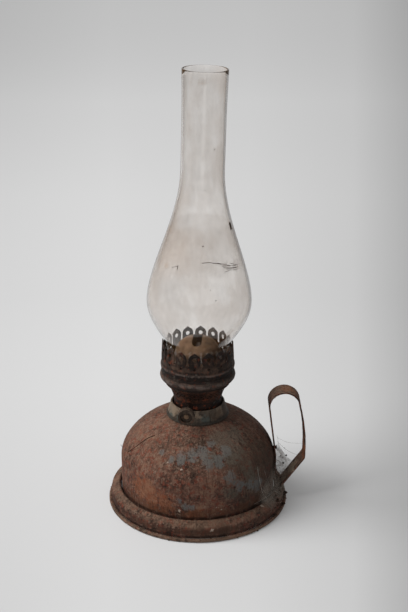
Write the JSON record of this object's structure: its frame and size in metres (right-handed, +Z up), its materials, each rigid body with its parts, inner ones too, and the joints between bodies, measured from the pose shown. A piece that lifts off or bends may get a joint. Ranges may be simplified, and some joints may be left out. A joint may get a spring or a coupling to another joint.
{
  "type": "kerosene hand lamp",
  "caption": "Old kerosene hand lamp: domed tin font on a flared foot, strap loop handle, flat wick burner with a pierced crown and a glass chimney.",
  "frame": {"origin": "the lamp's vertical axis in the plane that its hem stands on", "axes": "+Z up along the lamp's axis, +X towards the handle, so +Y is to the back when the handle is on the right"},
  "size_m": [0.1512, 0.138, 0.3312],
  "materials": {
    "rusted_tin": "rusted sheet with remains of grey-blue paint",
    "dark_iron": "darkened and rusted",
    "tarnished_collar": "grey-green tarnish",
    "old_brass": "dull, sooty",
    "wick_cotton": "woven cotton",
    "chimney_glass": "clear glass with a dusty film"
  },
  "bodies": {
    "lamp_base": {"font_shell": "rusted_tin", "font_floor": "rusted_tin", "base_skirt": "rusted_tin", "hem_wire": "dark_iron", "font_collar": "tarnished_collar", "handle_strap": "rusted_tin", "handle_rivets": "dark_iron"},
    "burner": {"burner_cup": "dark_iron", "burner_basket": "dark_iron", "gallery_bowl": "dark_iron", "crown_gallery": "dark_iron", "chimney_seat": "dark_iron", "air_diffuser": "old_brass", "wick_tube": "old_brass", "raiser_housing": "old_brass", "spindle_bush": "old_brass"},
    "wick_raiser": {"spindle": "dark_iron", "star_wheels": "old_brass", "wick_knob": "dark_iron", "knob_rivet": "old_brass"},
    "wick_strip": {"wick": "wick_cotton"},
    "deflector": {"flame_deflector": "old_brass"},
    "chimney_glass": {"chimney": "chimney_glass"}
  },
  "joints": [
    {"name": "burner_lift", "type": "slide", "parent": "lamp_base", "child": "burner", "axis": [0, 0, 1], "range_m": [0, 0.065]},
    {"name": "knob_turn", "type": "hinge", "parent": "burner", "child": "wick_raiser", "pos_m": [-0.00467, 0.00049, 0.085], "axis": [-0.1045, -0.9945, 0], "range_deg": [-140, 100]},
    {"name": "wick_travel", "type": "slide", "parent": "burner", "child": "wick_strip", "axis": [0, 0, 1], "range_m": [-0.008, 0.006]},
    {"name": "deflector_lift", "type": "slide", "parent": "burner", "child": "deflector", "axis": [0, 0, 1], "range_m": [0, 0.03]},
    {"name": "chimney_lift", "type": "slide", "parent": "burner", "child": "chimney_glass", "axis": [0.0244, 0, 0.9997], "range_m": [0, 0.05]}
  ],
  "couplings": [
    {"joint": "wick_travel", "follows": "knob_turn", "m_per_rad": 0.0032}
  ]
}
